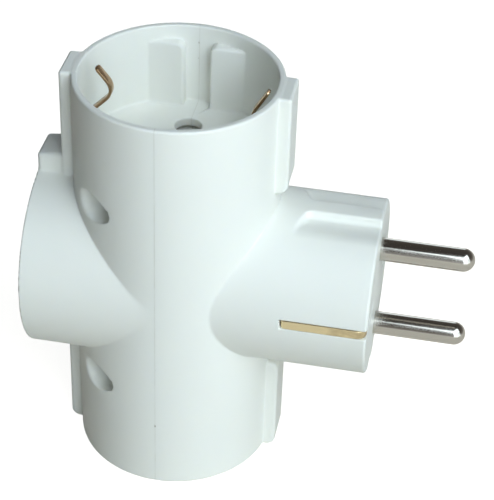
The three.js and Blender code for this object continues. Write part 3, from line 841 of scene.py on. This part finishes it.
def screw_field(x, y, z):
    """A pan-head tapping screw along X: domed head with a cross recess, coarse thread, blunt point."""
    out = np.hypot(y, z)
    head_in = -SCREW_SEAT - METAL_GAP
    head_out = head_in - SCREW_HEAD_HEIGHT
    dome = np.hypot(x - head_out - SCREW_DOME_R, out) - SCREW_DOME_R
    head = overlap(np.maximum(out - SCREW_HEAD_R, x - head_in), dome, SCREW_HEAD_ROUND)
    narrow = np.abs(np.where(np.abs(y) < np.abs(z), y, z))
    taper = (x - head_out) * CROSS_TAPER
    cross = overlap(narrow - CROSS_HALF + taper * 0.3, out - SCREW_R - CROSS_SPARE + taper * 2, 0.1)
    cross = overlap(cross, x - head_out - CROSS_DEPTH, 0.2)
    turns = (x / SCREW_PITCH - np.arctan2(z, y) / (2 * math.pi)) % 1.0
    ridge = np.maximum(0, 1 - np.abs(turns - 0.5) * THREAD_SHARPNESS)
    point = np.maximum(0, x - (SCREW_END - SCREW_POINT)) / SCREW_POINT * SCREW_POINT_DROP
    shank = out - (SCREW_R - SCREW_THREAD) - ridge * SCREW_THREAD + point
    shank = np.maximum(np.maximum(shank, x - SCREW_END), head_in - PAST / 2 - x)
    return union(cut(head, cross, 0.08), shank * THREAD_STEEPNESS, 0.1)


screw_side = SCREW_HEAD_R + SCREW_MARGIN
screw_out = -SCREW_SEAT - METAL_GAP - SCREW_HEAD_HEIGHT - SCREW_MARGIN
screw_low = (screw_out, -screw_side, -screw_side)
screw_high = (SCREW_END + SCREW_MARGIN, screw_side, screw_side)
screw_base = mesh_from_field("screw", screw_field, screw_low, screw_high, SCREW_STEP)
for level, z in (("upper", SCREW_Z), ("lower", -SCREW_Z)):
    for row, y in (("front", -SCREW_Y), ("rear", SCREW_Y)):
        node = f"case_screw_{level}_{row}"
        screw = smooth(screw_base.copy(), 60)
        dress(f"{node}_metal", screw, ZINC, "zinc_steel", node, turn=Matrix.Translation((0, y, z)))

for node in ("live_busbar", "neutral_busbar", "earth_frame"):
    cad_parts[node].data.materials.clear()
    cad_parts[node].data.materials.append(BRASS)


# Camera, at the photograph's viewing angle
CAMERA_AZIMUTH = 9.535
CAMERA_ELEVATION = 36.604
CAMERA_ROLL = 2.096
CAMERA_DISTANCE = 354.855
CAMERA_RIGHT = 14.485
CAMERA_UP = 1.713
FOCAL_PIXELS = 1700.311
FRAME_PIXELS = 500
SENSOR = 36.0


def towards(azimuth, elevation):
    """The unit direction from the part, angles in degrees; azimuth 0 is the front, 90 the plug's side."""
    azimuth, elevation = math.radians(azimuth), math.radians(elevation)
    return Vector((
        math.sin(azimuth) * math.cos(elevation),
        -math.cos(azimuth) * math.cos(elevation),
        math.sin(elevation),
    ))


def make_camera():
    """The camera, turned and placed as it was fitted to the photograph."""
    back = towards(CAMERA_AZIMUTH, CAMERA_ELEVATION)
    level = towards(CAMERA_AZIMUTH + 90, 0)
    upright = back.cross(level)
    roll = math.radians(CAMERA_ROLL)
    right = level * math.cos(roll) + upright * math.sin(roll)
    up = upright * math.cos(roll) - level * math.sin(roll)
    place = back * CAMERA_DISTANCE + right * CAMERA_RIGHT + up * CAMERA_UP + ORIGIN
    data = bpy.data.cameras.new("camera")
    data.sensor_width = SENSOR
    data.lens = FOCAL_PIXELS / FRAME_PIXELS * SENSOR
    data.clip_start, data.clip_end = 0.01, 20.0
    camera = bpy.data.objects.new("camera", data)
    turn = Matrix((right, up, back)).transposed().to_4x4()
    camera.matrix_world = Matrix.Translation(place * MM) @ turn
    bpy.context.collection.objects.link(camera)
    bpy.context.scene.camera = camera


# Floor, surroundings and lamps; distances in metres
FLOOR_HALF = 3.0
FLOOR_COLOUR = (0.55, 0.51, 0.43)
FLOOR_GLOW = 0.90
FLOOR_MIRRORED = 0.35
WORLD_LIGHT = 0.015
LIGHT_COLOUR = (0.875, 1.0, 1.085)
# What reflections show from straight down (0) to straight up (1)
ROOM_REFLECTION = [
    (0.50, (0.50, 0.50, 0.49)),
    (0.56, (0.26, 0.25, 0.24)),
    (0.70, (0.11, 0.10, 0.09)),
    (1.00, (0.06, 0.055, 0.05)),
]
LAMP_DISTANCE = 0.9
LAMP_SIZE = 0.6
# Each lamp's azimuth and elevation seen from the part, in degrees, and its power in watts
LAMPS = {
    "key": (30, 40, 3.3),
    "low": (30, 10, 2.35),
    "side": (55, 10, 1.6),
    "upper": (55, 50, 2.7),
    "back": (192, 8, 1.3),
}


def make_floor():
    """A plain white floor at the foot of the part that still takes its shadow."""
    side = FLOOR_HALF
    mesh = bpy.data.meshes.new("floor")
    z = -TUBE_HALF * MM
    corners = [(-side, -side, z), (side, -side, z), (side, side, z), (-side, side, z)]
    mesh.from_pydata(corners, [], [(0, 1, 2, 3)])
    floor = bpy.data.objects.new("floor", mesh)
    bpy.context.collection.objects.link(floor)
    material = bpy.data.materials.new("floor_white")
    material.use_nodes = True
    nodes, links = material.node_tree.nodes, material.node_tree.links
    nodes.clear()
    output = nodes.new("ShaderNodeOutputMaterial")
    diffuse = nodes.new("ShaderNodeBsdfDiffuse")
    diffuse.inputs["Color"].default_value = (*FLOOR_COLOUR, 1)
    glow = nodes.new("ShaderNodeEmission")
    path = nodes.new("ShaderNodeLightPath")
    seen = nodes.new("ShaderNodeMath")
    seen.operation = "MAXIMUM"
    mirrored = nodes.new("ShaderNodeMath")
    mirrored.operation = "MULTIPLY"
    mirrored.inputs[1].default_value = FLOOR_MIRRORED
    scale = nodes.new("ShaderNodeMath")
    scale.operation = "MULTIPLY"
    scale.inputs[1].default_value = FLOOR_GLOW
    both = nodes.new("ShaderNodeAddShader")
    links.new(path.outputs["Is Camera Ray"], seen.inputs[0])
    links.new(path.outputs["Is Glossy Ray"], mirrored.inputs[0])
    links.new(mirrored.outputs[0], seen.inputs[1])
    links.new(seen.outputs[0], scale.inputs[0])
    links.new(scale.outputs[0], glow.inputs["Strength"])
    links.new(diffuse.outputs[0], both.inputs[0])
    links.new(glow.outputs[0], both.inputs[1])
    links.new(both.outputs[0], output.inputs["Surface"])
    mesh.materials.append(material)


def make_world():
    """White to the camera, with a trace of even light; reflections see a room that darkens overhead."""
    world = bpy.data.worlds.new("studio")
    bpy.context.scene.world = world
    world.use_nodes = True
    nodes, links = world.node_tree.nodes, world.node_tree.links
    nodes.clear()
    output = nodes.new("ShaderNodeOutputWorld")
    path = nodes.new("ShaderNodeLightPath")
    soft = nodes.new("ShaderNodeBackground")
    soft.inputs["Color"].default_value = (1.0, 1.0, 1.0, 1)
    soft.inputs["Strength"].default_value = WORLD_LIGHT
    white = nodes.new("ShaderNodeBackground")
    white.inputs["Color"].default_value = (1, 1, 1, 1)
    room = nodes.new("ShaderNodeBackground")
    place = nodes.new("ShaderNodeTexCoord")
    parts = nodes.new("ShaderNodeSeparateXYZ")
    ramp = nodes.new("ShaderNodeValToRGB")
    ramp.color_ramp.elements.new(0.55)
    ramp.color_ramp.elements.new(0.70)
    for element, (position, colour) in zip(ramp.color_ramp.elements, ROOM_REFLECTION):
        element.position = position
        element.color = (*colour, 1)
    half = nodes.new("ShaderNodeMapRange")
    half.inputs["From Min"].default_value = -1.0
    links.new(place.outputs["Generated"], parts.inputs[0])
    links.new(parts.outputs["Z"], half.inputs["Value"])
    links.new(half.outputs[0], ramp.inputs[0])
    links.new(ramp.outputs[0], room.inputs["Color"])
    glossy = nodes.new("ShaderNodeMixShader")
    seen = nodes.new("ShaderNodeMixShader")
    links.new(path.outputs["Is Glossy Ray"], glossy.inputs[0])
    links.new(soft.outputs[0], glossy.inputs[1])
    links.new(room.outputs[0], glossy.inputs[2])
    links.new(path.outputs["Is Camera Ray"], seen.inputs[0])
    links.new(glossy.outputs[0], seen.inputs[1])
    links.new(white.outputs[0], seen.inputs[2])
    links.new(seen.outputs[0], output.inputs["Surface"])


def soft_light(name, azimuth, elevation, watts):
    """A square area light that looks at the middle of the part."""
    data = bpy.data.lights.new(name, "AREA")
    data.shape = "SQUARE"
    data.size = LAMP_SIZE
    data.energy = watts
    data.color = LIGHT_COLOUR
    outward = towards(azimuth, elevation)
    light = bpy.data.objects.new(name, data)
    light.location = ORIGIN * MM + outward * LAMP_DISTANCE
    light.rotation_mode = "QUATERNION"
    light.rotation_quaternion = (-outward).to_track_quat("-Z", "Y")
    bpy.context.collection.objects.link(light)


make_camera()
make_floor()
make_world()
for name, (azimuth, elevation, watts) in LAMPS.items():
    soft_light(name, azimuth, elevation, watts)
bpy.context.scene.view_settings.view_transform = "Standard"
